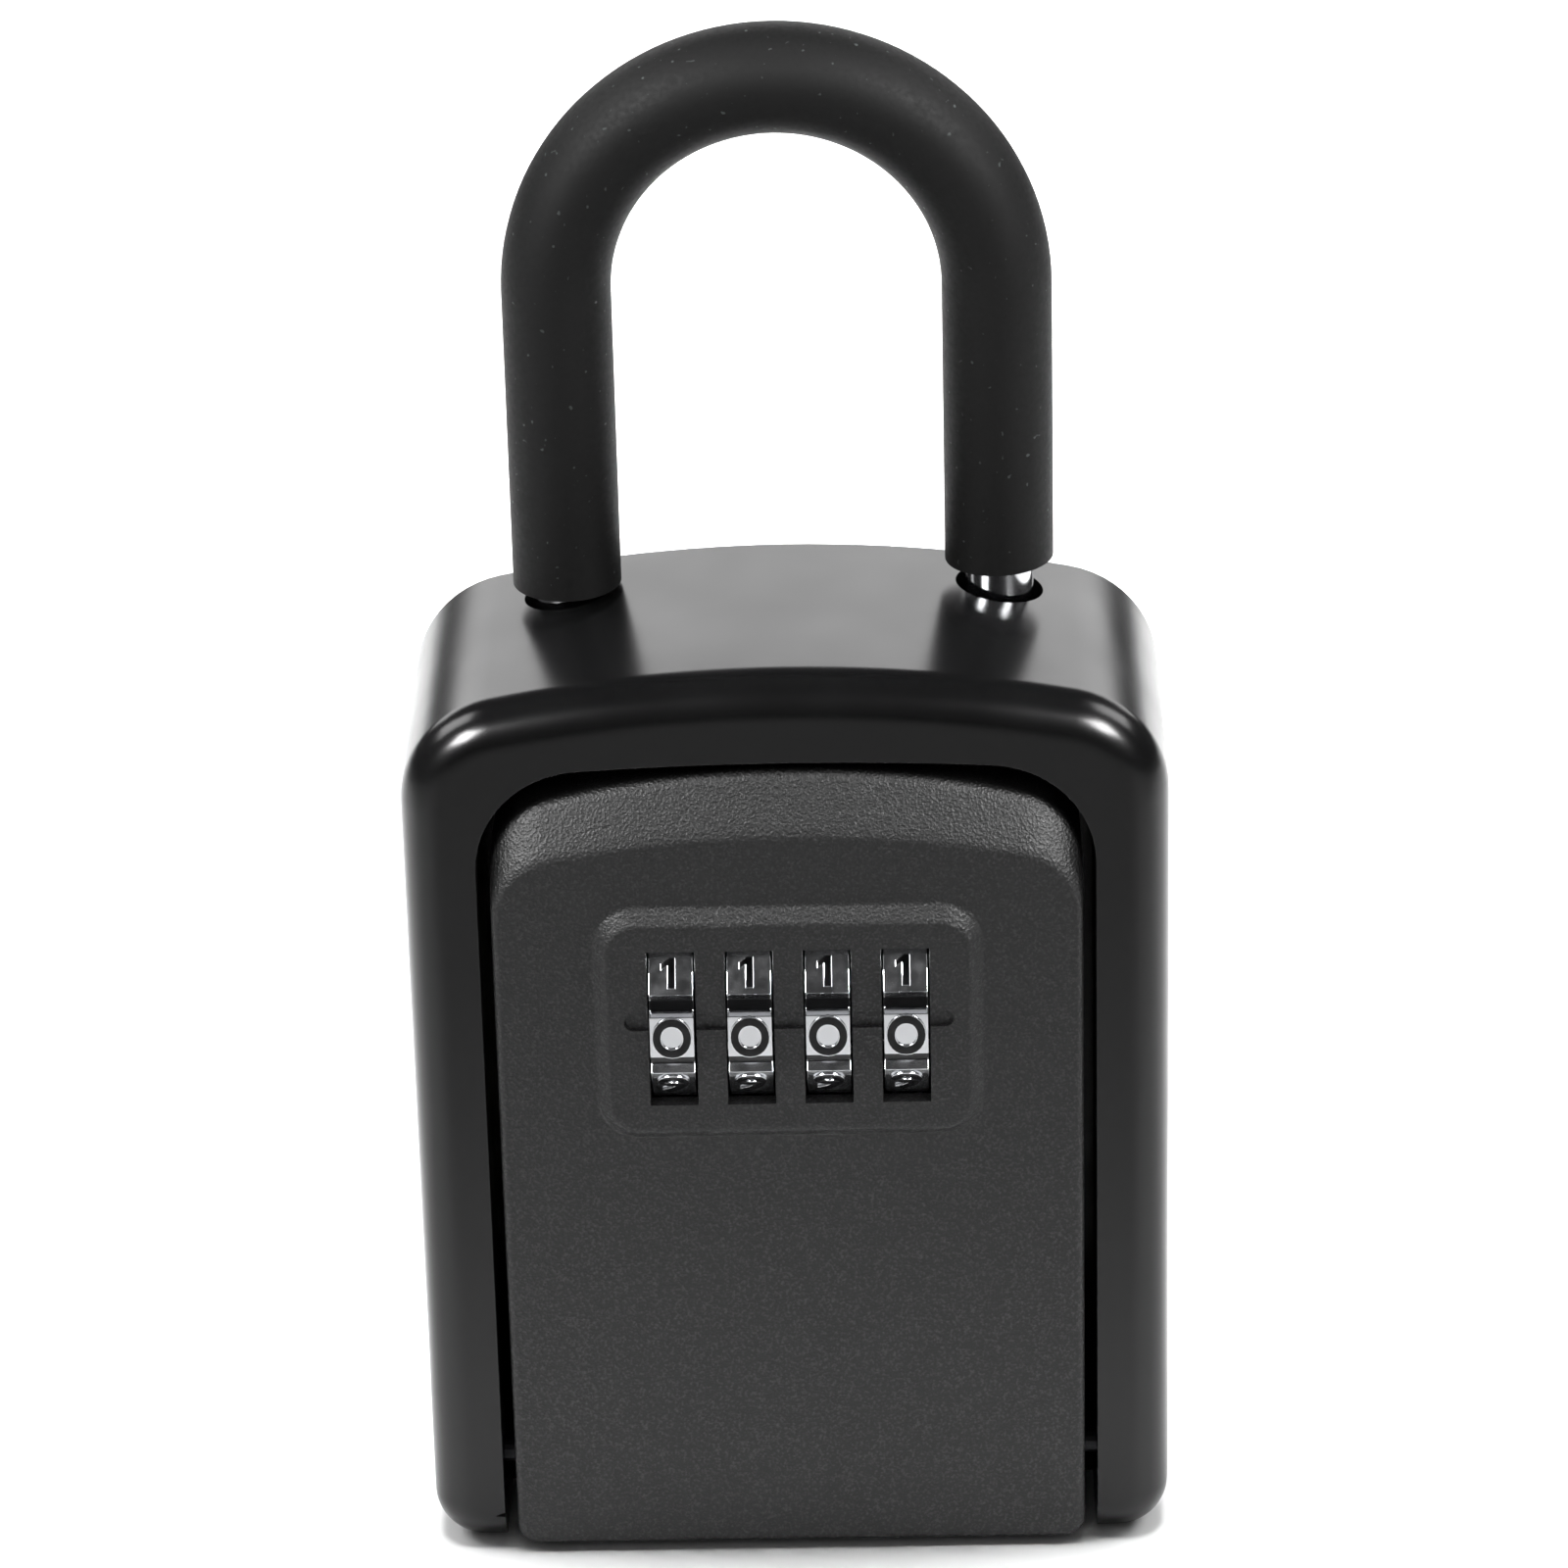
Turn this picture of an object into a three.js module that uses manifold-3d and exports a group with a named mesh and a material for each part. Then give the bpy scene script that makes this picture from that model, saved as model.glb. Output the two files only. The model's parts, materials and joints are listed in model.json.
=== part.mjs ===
// Portable key lock box: a die-cast case with a drop-down door, four number dials, an inner lock
// and a lift-out shackle in a soft sleeve. Millimetres, +Z up, the front faces -Y.
// Depths below are counted from the case's front plane towards its back.
import * as THREE from "three";
import { mergeVertices } from "three/addons/utils/BufferGeometryUtils.js";
import Module from "manifold-3d";

const wasm = await Module();
wasm.setup();

// Driving dimensions of the case
const CASE_WIDTH = 88;
const CASE_HEIGHT = 113.7;
const DIAL_DROP = 42.5465;
const LEG_SETBACK = 6.495;
const KEY_SPACE = 15;
const CROWN_RADIUS = 169.84;
const CASE_CORNER = 13;
const CASE_FOOT_CORNER = 6;
const CASE_EDGE = 5;
const CASE_BACK_EDGE = 0.8;
const WALL = 2.5;
const RAIL_WIDTH = 8.55;
const RAIL_DEPTH = 15;
const TOP_RAIL = 9.9;

// Door
const SIDE_GAP = 1.5;
const DOOR_FOOT = 1.0;
const DOOR_TOP_GAP = 1.8;
const DOOR_PROUD = 1.0;
const DOOR_DEPTH = 12.5;
const DOOR_WALL = 2.2;
const ARCH_RADIUS = 108;
const PANEL_PROUD = 1.2;
const HINGE_DEPTH = 5;
const HINGE_HEIGHT = 11;
const PIN_RADIUS = 1.5;
const GAP = 0.3;

// Dials
const DIAL_COUNT = 4;
const DIAL_PITCH = 8.98;
const DIAL_WIDTH = 5.1;
const DIAL_FACE = 12.1;
const DIAL_NOTCH = 11.3;
const DIGITS = 10;
const HUB_RADIUS = 5.6;
const GATE_RADIUS = 6.2;
const SPINDLE_RADIUS = 2;
const WINDOW_WIDTH = 5.55;
const WINDOW_HEIGHT = 19.87;

// Shackle
const ROD_RADIUS = 4;
const SLEEVE_RADIUS = 6.33;
const LEG_SPACING = 50.5;
const SHACKLE_CLEAR = 54.3;
const HOLE_RADIUS = 5.1;

// Worked out from the driving dimensions
const halfCase = CASE_WIDTH / 2;
const halfOpening = halfCase - RAIL_WIDTH;
const openingTop = CASE_HEIGHT - TOP_RAIL;
const halfDoor = halfOpening - SIDE_GAP;
const doorTop = openingTop - DOOR_TOP_GAP;
const dialDepth = DIAL_FACE - DOOR_PROUD - PANEL_PROUD - 2.05;
const dialHeight = CASE_HEIGHT - DIAL_DROP;
const dialFront = dialDepth - DIAL_FACE;
const dialCorner = DIAL_FACE / Math.cos(Math.PI / 15);
const coverBack = dialDepth + DIAL_FACE + 2.55;
const insideBack = coverBack + KEY_SPACE;
const caseDepth = insideBack + WALL;
const legDepth = insideBack - LEG_SETBACK;
const frontPlane = -(dialFront + caseDepth) / 2;
const dialX = (i) => (i - (DIAL_COUNT - 1) / 2) * DIAL_PITCH;
const endDialX = dialX(DIAL_COUNT - 1);
const fenceHalf = endDialX + DIAL_WIDTH / 2 + 0.7;
const legX = LEG_SPACING / 2;
const arcRadius = legX;
const arcHeight = CASE_HEIGHT + SHACKLE_CLEAR + SLEEVE_RADIUS - arcRadius + 0.6;
const frameX = endDialX + 9.75;
const longLegEnd = CASE_HEIGHT - 44;
const shortLegEnd = CASE_HEIGHT - 19;
const bracketHeight = shortLegEnd - 3;
const latchHeight = shortLegEnd + 6;
const screwSeat = insideBack - 6.5;

// Materials
const metal = (name, color, roughness, metalness) =>
  Object.assign(new THREE.MeshStandardMaterial({ color, roughness, metalness }), { name });
const CASE_PAINT = metal("case_paint", 0x1c1c1e, 0.38, 0.25);
const DOOR_PAINT = metal("door_paint", 0x2a2a2c, 0.6, 0.2);
const CHROME = metal("chrome", 0xc9ccd2, 0.12, 1);
const DIAL_METAL = metal("dial_metal", 0x9a9da3, 0.2, 1);
const STEEL = metal("steel", 0x8d8f92, 0.35, 1);
const SPRING_STEEL = metal("spring_steel", 0x777a7e, 0.3, 1);
const VINYL = metal("vinyl", 0x151515, 0.75, 0);
const PLASTIC = metal("plastic", 0x202022, 0.6, 0);
const BRASS = metal("brass", 0xb08d4a, 0.35, 1);

// Joining and cutting
function toManifold(geometry) {
  const bare = geometry.clone();
  bare.deleteAttribute("normal");
  bare.deleteAttribute("uv");
  const merged = mergeVertices(bare, 1e-5);
  return new wasm.Manifold(new wasm.Mesh({
    numProp: 3,
    vertProperties: new Float32Array(merged.attributes.position.array),
    triVerts: new Uint32Array(merged.index.array),
  }));
}

function toGeometry(manifold) {
  const mesh = manifold.getMesh();
  const geometry = new THREE.BufferGeometry();
  geometry.setAttribute("position", new THREE.BufferAttribute(mesh.vertProperties, 3));
  geometry.setIndex(new THREE.BufferAttribute(mesh.triVerts, 1));
  geometry.computeVertexNormals();
  return geometry;
}

function combine(base, added, removed = []) {
  let solid = toManifold(base);
  for (const piece of added) solid = solid.add(toManifold(piece));
  for (const piece of removed) solid = solid.subtract(toManifold(piece));
  return toGeometry(solid);
}

// A block between two corners, given as x, depth and height ranges
function block(x0, x1, d0, d1, z0, z1) {
  const geometry = new THREE.BoxGeometry(x1 - x0, d1 - d0, z1 - z0);
  return geometry.translate((x0 + x1) / 2, frontPlane + (d0 + d1) / 2, (z0 + z1) / 2);
}

// A round bar along X, Y (depth) or Z
function barX(radius, x0, x1, depth, height, segments = 16) {
  const geometry = new THREE.CylinderGeometry(radius, radius, x1 - x0, segments);
  return geometry.rotateZ(-Math.PI / 2).translate((x0 + x1) / 2, frontPlane + depth, height);
}

function barY(radius, d0, d1, x, height, segments = 16) {
  const geometry = new THREE.CylinderGeometry(radius, radius, d1 - d0, segments);
  return geometry.translate(x, frontPlane + (d0 + d1) / 2, height);
}

function barZ(radius, z0, z1, x, depth, segments = 20) {
  const geometry = new THREE.CylinderGeometry(radius, radius, z1 - z0, segments);
  return geometry.rotateX(Math.PI / 2).translate(x, frontPlane + depth, (z0 + z1) / 2);
}

// An upright outline with round lower corners, round upper corners and a crowned top,
// as [x, z] points in order
function crownedOutline(half, foot, top, crown, upper, lower) {
  const right = [];
  for (let i = 0; i <= 3; i += 1) {
    const a = -Math.PI / 2 + (i / 3) * (Math.PI / 2);
    right.push([half - lower + lower * Math.cos(a), foot + lower + lower * Math.sin(a)]);
  }
  const crownZ = top - crown;
  const cornerX = half - upper;
  const cornerZ = crownZ + Math.sqrt((crown - upper) ** 2 - cornerX ** 2);
  const meet = Math.atan2(cornerZ - crownZ, cornerX);
  for (let i = 0; i <= 5; i += 1) {
    const a = (i / 5) * meet;
    right.push([cornerX + upper * Math.cos(a), cornerZ + upper * Math.sin(a)]);
  }
  for (let i = 1; i <= 3; i += 1) {
    const a = meet + (i / 4) * (Math.PI / 2 - meet);
    right.push([crown * Math.cos(a), crownZ + crown * Math.sin(a)]);
  }
  const left = right.map(([x, z]) => [-x, z]).reverse();
  return [...right, [0, top], ...left];
}

function roundedOutline(half, z0, z1, radius) {
  const points = [];
  const corners = [[half, z0, -1], [half, z1, 0], [-half, z1, 1], [-half, z0, 2]];
  for (const [x, z, quarter] of corners) {
    const cx = x - Math.sign(x) * radius;
    const cz = z === z0 ? z + radius : z - radius;
    for (let i = 0; i <= 3; i += 1) {
      const a = (quarter + i / 3) * (Math.PI / 2);
      points.push([cx + radius * Math.cos(a), cz + radius * Math.sin(a)]);
    }
  }
  return points;
}

// A closed skin over matching rings of points, with a flat cap on each end. Each ring runs
// clockwise when seen from the ring after it
function skin(rings) {
  const count = rings[0].length;
  const points = rings.flat();
  const index = [];
  for (let r = 0; r + 1 < rings.length; r += 1) {
    for (let i = 0; i < count; i += 1) {
      const j = (i + 1) % count;
      const a = r * count + i;
      const b = r * count + j;
      index.push(a, b + count, b, a, a + count, b + count);
    }
  }
  const centre = (ring) => ring.reduce((sum, p) => sum.add(p), new THREE.Vector3())
    .divideScalar(count);
  points.push(centre(rings[0]), centre(rings[rings.length - 1]));
  const last = (rings.length - 1) * count;
  for (let i = 0; i < count; i += 1) {
    const j = (i + 1) % count;
    index.push(points.length - 2, i, j);
    index.push(points.length - 1, last + j, last + i);
  }
  const geometry = new THREE.BufferGeometry().setFromPoints(points);
  geometry.setIndex(index);
  return geometry;
}

// Upright outlines stacked by depth, front to back
function stack(layers) {
  const rings = layers.map(([depth, outline]) =>
    outline.map(([x, z]) => new THREE.Vector3(x, frontPlane + depth, z)));
  return skin(rings);
}

const caseOutline = (inset) => crownedOutline(
  halfCase - inset, inset, CASE_HEIGHT - inset, CROWN_RADIUS - inset,
  CASE_CORNER - inset, CASE_FOOT_CORNER - inset);

// The case: rounded shell, door opening, inner space, shackle holes, bolt keeper, latch rails
function caseShell() {
  const layers = [];
  for (let i = 0; i <= 3; i += 1) {
    const a = (i / 3) * (Math.PI / 2);
    layers.push([CASE_EDGE * (1 - Math.cos(a)), caseOutline(CASE_EDGE * (1 - Math.sin(a)))]);
  }
  layers.push([caseDepth - CASE_BACK_EDGE, caseOutline(0)], [caseDepth, caseOutline(CASE_BACK_EDGE)]);
  const opening = crownedOutline(halfOpening, -10, openingTop, 405, 12.5, 1);
  const inside = caseOutline(WALL);
  const hollow = combine(
    stack([[-5, opening], [RAIL_DEPTH + 1, opening]]),
    [stack([[RAIL_DEPTH, inside], [insideBack, inside]])]);
  const latchRail = (z) => block(-8, 16, insideBack - 3.2, insideBack + 1, z, z + 1.7);
  const shell = combine(stack(layers), [], [hollow]);
  return combine(shell, [
    latchRail(latchHeight - 2),
    latchRail(latchHeight + 2.3),
    barY(3.2, insideBack - 4.2, insideBack + 1, -8, bracketHeight - 6),
    barY(3.2, insideBack - 4.2, insideBack + 1, 8, bracketHeight - 6),
  ], [
    barZ(HOLE_RADIUS, CASE_HEIGHT - 12, CASE_HEIGHT + 2, -legX, legDepth, 28),
    barZ(HOLE_RADIUS, CASE_HEIGHT - 12, CASE_HEIGHT + 2, legX, legDepth, 28),
    block(-6.6, 6.6, 8, 12, openingTop - 3, openingTop + 3),
    barX(PIN_RADIUS + GAP, halfOpening - 1, halfCase - WALL, HINGE_DEPTH, HINGE_HEIGHT),
    barX(PIN_RADIUS + GAP, -halfCase + WALL, -halfOpening + 1, HINGE_DEPTH, HINGE_HEIGHT),
    barY(1.6, insideBack - 5, insideBack + 1, -8, bracketHeight - 6),
    barY(1.6, insideBack - 5, insideBack + 1, 8, bracketHeight - 6),
  ]);
}

// Steel bracket: guides the long leg and stops its ring; its tab takes two screws
function shackleBracket() {
  const plate = block(-legX - 7, legX + 7, legDepth - 5.5, insideBack - 0.5,
    bracketHeight, bracketHeight + 1.5);
  const tab = block(-13, 13, screwSeat + GAP, screwSeat + 1.8, bracketHeight - 11, bracketHeight + 1);
  return combine(plate, [tab], [
    barZ(ROD_RADIUS + GAP, bracketHeight - 2, bracketHeight + 3, -legX, legDepth),
    barY(1.6, screwSeat - 1, screwSeat + 3, -8, bracketHeight - 6),
    barY(1.6, screwSeat - 1, screwSeat + 3, 8, bracketHeight - 6),
  ]);
}

// Pan-head screw along the depth, head in front (towards = -1) or behind (towards = 1)
function screw(x, height, seat, length, towards) {
  const head = towards < 0 ? [seat - 1.6, seat] : [seat, seat + 1.6];
  const shank = towards < 0 ? [seat - 0.5, seat + length] : [seat - length, seat + 0.5];
  return combine(barY(2.6, ...head, x, height), [barY(1.3, ...shank, x, height, 12)]);
}

const doorOutline = (inset, top, crown, upper) => crownedOutline(
  halfDoor - inset, DOOR_FOOT + inset, top, crown, upper, 2.6 - inset);

// Door: a shallow tray with a sloped brow, a raised dial panel, four windows and an index groove
function doorCover() {
  const outer = stack([
    [-DOOR_PROUD, doorOutline(1.2, doorTop - 7.5, 140, 8)],
    [-DOOR_PROUD + 0.4, doorOutline(0.35, doorTop - 6.6, 137, 8.5)],
    [-DOOR_PROUD + 1.2, doorOutline(0, doorTop - 4.9, 130, 8.5)],
    [2.1, doorOutline(0, doorTop - 0.7, 110, 8.5)],
    [3.2, doorOutline(0, doorTop, ARCH_RADIUS, 8.5)],
    [DOOR_DEPTH - 2, doorOutline(0, doorTop, ARCH_RADIUS, 8.5)],
    [DOOR_DEPTH, doorOutline(0.8, doorTop - 0.8, ARCH_RADIUS, 7.5)],
  ]);
  const w = DOOR_WALL;
  const trayTop = doorTop - w;
  const tray = stack([
    [-DOOR_PROUD + w, doorOutline(w, doorTop - 8, 138, 7)],
    [3.9, doorOutline(w, trayTop - 1.1, 110, 7)],
    [5.4, doorOutline(w, trayTop, 106, 7)],
    [DOOR_DEPTH + 1, doorOutline(w, trayTop, 106, 7)],
  ]);
  const panelTop = dialHeight + 15.34;
  const panelFoot = dialHeight - 14.66;
  const face = -DOOR_PROUD;
  const panel = stack([
    [face - PANEL_PROUD, roundedOutline(21.3, panelFoot + 0.8, panelTop - 2, 3.8)],
    [face, roundedOutline(22.4, panelFoot, panelTop, 4.75)],
    [face + 1, roundedOutline(22.4, panelFoot, panelTop, 4.75)],
  ]);
  const cuts = [
    block(-19, 19, face - 3, face - 0.6, dialHeight - 0.15, dialHeight + 1.95),
    block(-6.3, 6.3, 8.2, 11.8, doorTop - 8, doorTop + 2),
    barX(PIN_RADIUS + GAP, halfDoor - w - 1, halfDoor + 1, HINGE_DEPTH, HINGE_HEIGHT),
    barX(PIN_RADIUS + GAP, -halfDoor - 1, -halfDoor + w + 1, HINGE_DEPTH, HINGE_HEIGHT),
  ];
  for (let i = 0; i < DIAL_COUNT; i += 1) {
    const half = WINDOW_WIDTH / 2;
    const foot = dialHeight - WINDOW_HEIGHT / 2;
    cuts.push(block(dialX(i) - half, dialX(i) + half, -5, 4, foot, foot + WINDOW_HEIGHT));
    cuts.push(barX(dialCorner + 0.4, dialX(i) - half, dialX(i) + half, dialDepth, dialHeight, 40));
  }
  const bosses = [];
  for (const [x, z] of coverScrewPlaces) {
    bosses.push(barY(3, face + 2, coverSeat - GAP, x, z));
    cuts.push(barY(1.6, face + 3, coverSeat + 1, x, z, 12));
  }
  return combine(combine(outer, [], [tray]), [panel, ...bosses], cuts);
}

const coverSeat = DOOR_DEPTH - 2.2;
const humpFoot = dialHeight - 16.2;
const humpTop = dialHeight + 16.8;
const coverScrewPlaces = [
  [-26.5, 15], [26.5, 15], [-26.5, humpTop + 3.8], [26.5, humpTop + 3.8],
];

// Inner cover: a plate across the back of the door with a stepped hump over dials and bolt
function innerCover() {
  const inset = DOOR_WALL + GAP;
  const outline = doorOutline(inset, doorTop - inset, 105, 6.5);
  const plate = stack([[coverSeat, outline], [coverSeat + 2, outline]]);
  const wide = frameX + 5.2;
  const narrow = fenceHalf + 2;
  const slotTop = doorTop - 2.9;
  const w = 1.5;
  const hump = block(-wide, wide, coverSeat, coverBack, humpFoot, humpTop);
  const upper = block(-narrow, narrow, coverSeat, coverBack, humpTop - 4, humpTop + 8.2);
  const neck = block(-8.5, 8.5, coverSeat, coverSeat + 4, humpTop, slotTop);
  const back = coverBack - w;
  const cuts = [
    block(-wide + w, wide - w, coverSeat - 1, back, humpFoot + w, humpTop - w),
    block(-narrow + w, narrow - w, coverSeat - 1, back, humpTop - 4, humpTop + 8.2 - w),
    block(-7, 7, coverSeat - 1, coverSeat + 2.6, humpTop - 4, slotTop + 3),
    block(5.5, 14.5, back - 1, coverBack + 1, leverHeight - 1.3, leverHeight + 1.3),
  ];
  for (const [x, z] of coverScrewPlaces) {
    cuts.push(barY(1.6, coverSeat - 1, coverSeat + 3, x, z, 12));
  }
  return combine(plate, [hump, upper, neck], cuts);
}

const leverHeight = dialHeight + 9;

// Code-change lever: a finger tab through a short slot in the hump, wider on both sides
function codeLever() {
  const tab = block(5.8, 11.2, coverBack - 2.6, coverBack + 2.2, leverHeight - 1, leverHeight + 1);
  const grip = block(6.2, 10.8, coverBack + GAP, coverBack + 2.2, leverHeight - 3, leverHeight + 3);
  return combine(tab, [grip]);
}

// Frame that carries the dial spindle: two cheeks joined above and below the dials
function dialFrame() {
  const top = dialHeight + 14.9;
  const foot = dialHeight - 14.3;
  const cheek = (x) => block(x - 0.6, x + 0.6, 1.5, 17.5, foot, top);
  const strip = (z0, z1) => block(-frameX, frameX, 1.5, 2.7, z0, z1);
  return combine(cheek(-frameX), [cheek(frameX), strip(top - 1.8, top), strip(foot, foot + 2.2)], [
    barX(SPINDLE_RADIUS + GAP, -frameX - 2, frameX + 2, dialDepth, dialHeight),
  ]);
}

function ringX(outer, inner, x0, x1, segments = 20) {
  return combine(barX(outer, x0, x1, dialDepth, dialHeight, segments), [], [
    barX(inner, x0 - 1, x1 + 1, dialDepth, dialHeight, segments),
  ]);
}

// Spindle with a head at its left end and a groove for the clip at its right end
function dialSpindle() {
  const end = frameX + 3;
  const rod = barX(SPINDLE_RADIUS, -end + 1, end, dialDepth, dialHeight);
  const head = barX(3.2, -end + 0.8, -frameX - 0.9, dialDepth, dialHeight);
  const groove = ringX(3, 1.5, frameX + 0.8, frameX + 2);
  return combine(rod, [head], [groove]);
}

// Spring that keeps the dials pressed together on the spindle
function spindleSpring() {
  const start = -frameX + 1.3;
  const length = -endDialX - DIAL_WIDTH / 2 - 0.9 - start;
  const turns = 3;
  const rings = [];
  const steps = turns * 10;
  const wire = 0.5;
  for (let i = 0; i <= steps; i += 1) {
    const a = (i / steps) * turns * 2 * Math.PI;
    const x = start + (i / steps) * (length - 2 * wire) + wire;
    const ring = [];
    for (let k = 0; k < 6; k += 1) {
      const b = (k / 6) * 2 * Math.PI;
      const r = 3.4 + wire * Math.cos(b);
      ring.push(new THREE.Vector3(
        x + wire * Math.sin(b),
        frontPlane + dialDepth + r * Math.cos(a),
        dialHeight + r * Math.sin(a)));
    }
    rings.push(ring);
  }
  return skin(rings);
}

// Dial wheel: ten flat digit faces with a notch between neighbours, and a bore for its hub
function dialWheel(i) {
  const shape = new THREE.Shape();
  const faceHalf = THREE.MathUtils.degToRad(12);
  const corner = dialCorner;
  for (let k = 0; k < DIGITS; k += 1) {
    const middle = (k / DIGITS) * 2 * Math.PI;
    for (const [a, r] of [
      [middle - faceHalf, corner], [middle + faceHalf, corner],
      [middle + Math.PI / DIGITS, DIAL_NOTCH],
    ]) {
      const point = [r * Math.cos(a), r * Math.sin(a)];
      if (k === 0 && a < middle) shape.moveTo(...point);
      else shape.lineTo(...point);
    }
  }
  const bore = new THREE.Path();
  bore.absarc(0, 0, HUB_RADIUS + GAP, 0, Math.PI * 2, true);
  shape.holes.push(bore);
  const geometry = new THREE.ExtrudeGeometry(shape, {
    depth: DIAL_WIDTH, bevelEnabled: false, curveSegments: 12,
  });
  geometry.rotateY(Math.PI / 2);
  geometry.rotateX(Math.PI / 2);
  return geometry.translate(dialX(i) - DIAL_WIDTH / 2, frontPlane + dialDepth, dialHeight);
}

// Hub of one dial: turns on the spindle and carries a gate disc beside the wheel
function dialHub(i) {
  const half = DIAL_WIDTH / 2 + GAP;
  const x = dialX(i);
  const body = barX(HUB_RADIUS, x - half, x + half, dialDepth, dialHeight, 20);
  const disc = barX(GATE_RADIUS, x + half - 0.01, x + half + 1.2, dialDepth, dialHeight, 24);
  return combine(body, [disc], [
    barX(SPINDLE_RADIUS + GAP, x - 5, x + 5, dialDepth, dialHeight),
    block(x + half - 0.5, x + half + 2, dialDepth - 1.5, dialDepth + 1.5, dialHeight + 4, dialHeight + 8),
  ]);
}

// Click spring: a comb under the dials, one finger for each wheel
function detentSpring() {
  const top = dialHeight - dialCorner - 0.3;
  const z = top - 1.1;
  const pieces = [];
  for (let i = 0; i < DIAL_COUNT; i += 1) {
    const x = dialX(i);
    pieces.push(block(x - 1.8, x + 1.8, 4.5, 17.5, z, z + 0.6));
    pieces.push(block(x - 1.8, x + 1.8, dialDepth - 0.8, dialDepth + 0.8, z + 0.3, top));
  }
  return combine(block(-endDialX - 3, endDialX + 3, 17, 19.5, z, z + 0.6), pieces);
}

// Bolt: a fence bar over the dials with a tongue that rises into the case's top rail
function lockBolt() {
  const foot = dialHeight + DIAL_FACE + 2.6;
  const fence = block(-fenceHalf, fenceHalf, 8.5, 11.5, foot, foot + 3);
  const tongue = block(-6, 6, 8.5, 11.5, foot + 1, doorTop - 0.5);
  return combine(fence, [tongue]);
}

// Round rings along the shackle's centre line, leg to leg over the arch
function shacklePath(radius, leftEnd, rightEnd, sides) {
  const rings = [];
  const ring = (x, z, angle) => {
    const points = [];
    for (let k = 0; k < sides; k += 1) {
      const b = (k / sides) * 2 * Math.PI;
      const out = radius * Math.cos(b);
      points.push(new THREE.Vector3(
        x - out * Math.cos(angle),
        frontPlane + legDepth + radius * Math.sin(b),
        z + out * Math.sin(angle)));
    }
    return points;
  };
  rings.push(ring(-legX, leftEnd, 0));
  const steps = 14;
  for (let i = 0; i <= steps; i += 1) {
    const a = (i / steps) * Math.PI;
    rings.push(ring(-legX * Math.cos(a), arcHeight + arcRadius * Math.sin(a), a));
  }
  rings.push(ring(legX, rightEnd, Math.PI));
  return skin(rings);
}

// Rod: long captive leg on the left, short leg with a ramped latch notch on the right
function shackleRod() {
  const rod = shacklePath(ROD_RADIUS, longLegEnd, shortLegEnd, 16);
  const ringSeat = combine(
    barZ(ROD_RADIUS + 2, longLegEnd + 1.9, longLegEnd + 4.1, -legX, legDepth), [],
    [barZ(3.3, longLegEnd, longLegEnd + 6, -legX, legDepth)]);
  const inner = legX - ROD_RADIUS;
  const notch = new THREE.Shape();
  notch.moveTo(inner - 3, latchHeight + 2.5);
  notch.lineTo(inner + 2.4, latchHeight + 2.5);
  notch.lineTo(inner + 2.4, latchHeight - 0.4);
  notch.lineTo(inner - 3, latchHeight - 11.2);
  const cut = new THREE.ExtrudeGeometry(notch, { depth: 12, bevelEnabled: false });
  cut.rotateX(Math.PI / 2).translate(0, frontPlane + legDepth + 6, 0);
  return combine(rod, [], [ringSeat, cut]);
}

function shackleSleeve() {
  const outer = shacklePath(SLEEVE_RADIUS, CASE_HEIGHT - 0.4, CASE_HEIGHT + 1.9, 20);
  const inner = shacklePath(ROD_RADIUS + GAP, CASE_HEIGHT - 5, CASE_HEIGHT - 5, 16);
  return combine(outer, [], [inner]);
}

function retainingRing() {
  const z = longLegEnd + 2.2;
  return combine(barZ(ROD_RADIUS + 1.3, z, z + 1.5, -legX, legDepth), [], [
    barZ(3.6, z - 1, z + 3, -legX, legDepth),
  ]);
}

// Latch: a flat blade that slides sideways into the short leg's notch
function shackleLatch() {
  const tip = legX - ROD_RADIUS + 2.05;
  const blade = block(-6, tip, legDepth - 3, legDepth + 3, latchHeight, latchHeight + 2);
  const rail = block(-6, 8, legDepth + 2, insideBack - 0.4, latchHeight, latchHeight + 2);
  const neck = block(-2, 4, legDepth - 5, legDepth - 2, latchHeight, latchHeight + 2);
  return combine(blade, [rail, neck]);
}

// Thumb knob: a ridged plastic cap on the latch's neck
function latchKnob() {
  const front = coverBack + 0.8;
  const back = legDepth - 3.6;
  const pieces = [];
  for (let i = 0; i < 3; i += 1) {
    const x = -2.6 + i * 2.8;
    pieces.push(block(x, x + 1.4, front - 0.01, front + 1, latchHeight - 4, latchHeight + 4));
  }
  const body = block(-4, 6, front + 0.6, back, latchHeight - 5, latchHeight + 5);
  return combine(body, pieces, [
    block(-2 - GAP, 4 + GAP, legDepth - 5 - GAP, back + 1, latchHeight - GAP, latchHeight + 2 + GAP),
  ]);
}

const lockBox = new THREE.Group();
lockBox.name = "key_lock_box";

function addPiece(name, geometry, material) {
  const mesh = new THREE.Mesh(geometry, material);
  mesh.name = name;
  lockBox.add(mesh);
}

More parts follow.
